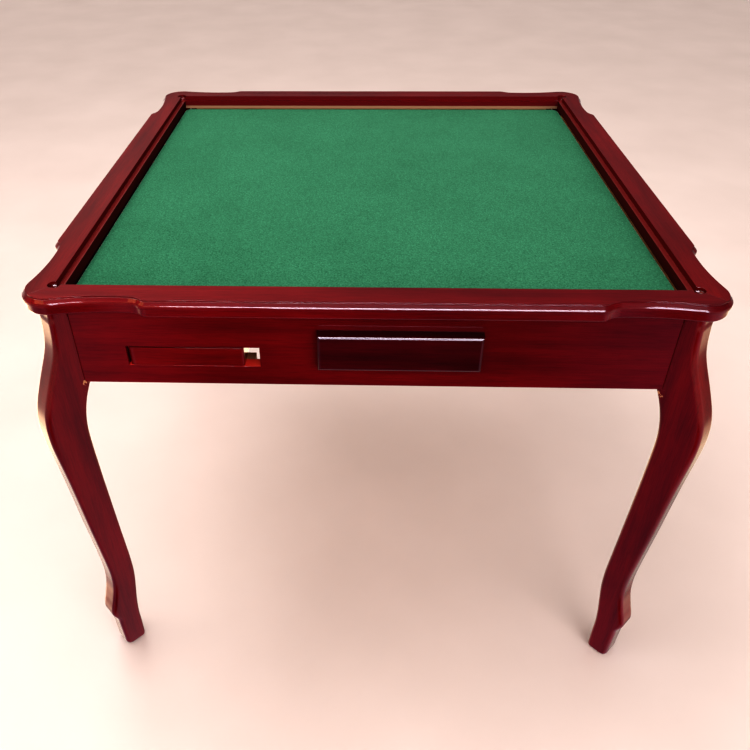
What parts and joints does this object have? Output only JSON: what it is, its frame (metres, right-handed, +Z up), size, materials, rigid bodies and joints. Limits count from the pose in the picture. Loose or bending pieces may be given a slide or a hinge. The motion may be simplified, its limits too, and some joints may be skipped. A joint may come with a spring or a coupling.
{
  "type": "square game table",
  "caption": "Square mahjong table with a sunken felt top, moulded rim, curved plank legs, and a drawer and a swing-out cup holder on every side.",
  "frame": {"origin": "centre of the footprint, on the floor", "axes": "+Z up, -Y towards the side seen in front, +X to its right"},
  "size_m": [0.9624, 0.9624, 0.75],
  "materials": {
    "stained_wood": "high-gloss red mahogany lacquer",
    "apron_wood": "high-gloss red mahogany lacquer outside, bare wood inside",
    "raw_wood": "bare planed softwood",
    "drawer_wood": "bare planed wood",
    "dowel_wood": "bare turned beech",
    "plywood": "sanded plywood",
    "felt": "green woollen felt",
    "steel": "zinc-plated steel",
    "glide_plastic": "matt dark nylon"
  },
  "bodies": {
    "table": {"rail_front": "stained_wood", "rail_right": "stained_wood", "rail_back": "stained_wood", "rail_left": "stained_wood", "apron_front": "apron_wood", "apron_right": "apron_wood", "apron_back": "apron_wood", "apron_left": "apron_wood", "leg_front_left": "stained_wood", "leg_front_right": "stained_wood", "leg_back_right": "stained_wood", "leg_back_left": "stained_wood", "corner_block_front_left": "raw_wood", "corner_block_front_right": "raw_wood", "corner_block_back_right": "raw_wood", "corner_block_back_left": "raw_wood", "hanger_bolts": "steel", "bolt_washers": "steel", "bolt_nuts": "steel", "holder_pins": "steel", "cleat_screws": "steel", "mitre_dowels": "dowel_wood", "rail_dowels": "dowel_wood", "foot_glides": "glide_plastic", "playing_board": "plywood", "felt_cover": "felt", "panel_cleat_front": "raw_wood", "panel_cleat_right": "raw_wood", "panel_cleat_back": "raw_wood", "panel_cleat_left": "raw_wood", "inner_frame_front": "raw_wood", "inner_frame_right": "raw_wood", "inner_frame_back": "raw_wood", "inner_frame_left": "raw_wood", "drawer_guides_front": "raw_wood", "drawer_guides_right": "raw_wood", "drawer_guides_back": "raw_wood", "drawer_guides_left": "raw_wood", "holder_battens": "raw_wood"},
    "drawer_front": {"drawer_face_front": "stained_wood", "drawer_sides_front": "drawer_wood", "drawer_back_front": "drawer_wood", "drawer_bottom_front": "plywood"},
    "holder_front": {"holder_board_front": "stained_wood"},
    "drawer_right": {"drawer_face_right": "stained_wood", "drawer_sides_right": "drawer_wood", "drawer_back_right": "drawer_wood", "drawer_bottom_right": "plywood"},
    "holder_right": {"holder_board_right": "stained_wood"},
    "drawer_back": {"drawer_face_back": "stained_wood", "drawer_sides_back": "drawer_wood", "drawer_back_back": "drawer_wood", "drawer_bottom_back": "plywood"},
    "holder_back": {"holder_board_back": "stained_wood"},
    "drawer_left": {"drawer_face_left": "stained_wood", "drawer_sides_left": "drawer_wood", "drawer_back_left": "drawer_wood", "drawer_bottom_left": "plywood"},
    "holder_left": {"holder_board_left": "stained_wood"}
  },
  "joints": [
    {"name": "drawer_front_slide", "type": "slide", "parent": "table", "child": "drawer_front", "axis": [0, -1, 0], "range_m": [0, 0.18]},
    {"name": "holder_front_swing", "type": "hinge", "parent": "table", "child": "holder_front", "pos_m": [-0.328, -0.427, 0.645], "axis": [0, 0, -1], "range_deg": [0, 90]},
    {"name": "drawer_right_slide", "type": "slide", "parent": "table", "child": "drawer_right", "axis": [1, 0, 0], "range_m": [0, 0.18]},
    {"name": "holder_right_swing", "type": "hinge", "parent": "table", "child": "holder_right", "pos_m": [0.427, -0.328, 0.645], "axis": [0, 0, -1], "range_deg": [0, 90]},
    {"name": "drawer_back_slide", "type": "slide", "parent": "table", "child": "drawer_back", "axis": [0, 1, 0], "range_m": [0, 0.18]},
    {"name": "holder_back_swing", "type": "hinge", "parent": "table", "child": "holder_back", "pos_m": [0.328, 0.427, 0.645], "axis": [0, 0, -1], "range_deg": [0, 90]},
    {"name": "drawer_left_slide", "type": "slide", "parent": "table", "child": "drawer_left", "axis": [-1, 0, 0], "range_m": [0, 0.18]},
    {"name": "holder_left_swing", "type": "hinge", "parent": "table", "child": "holder_left", "pos_m": [-0.427, 0.328, 0.645], "axis": [0, 0, -1], "range_deg": [0, 90]}
  ]
}
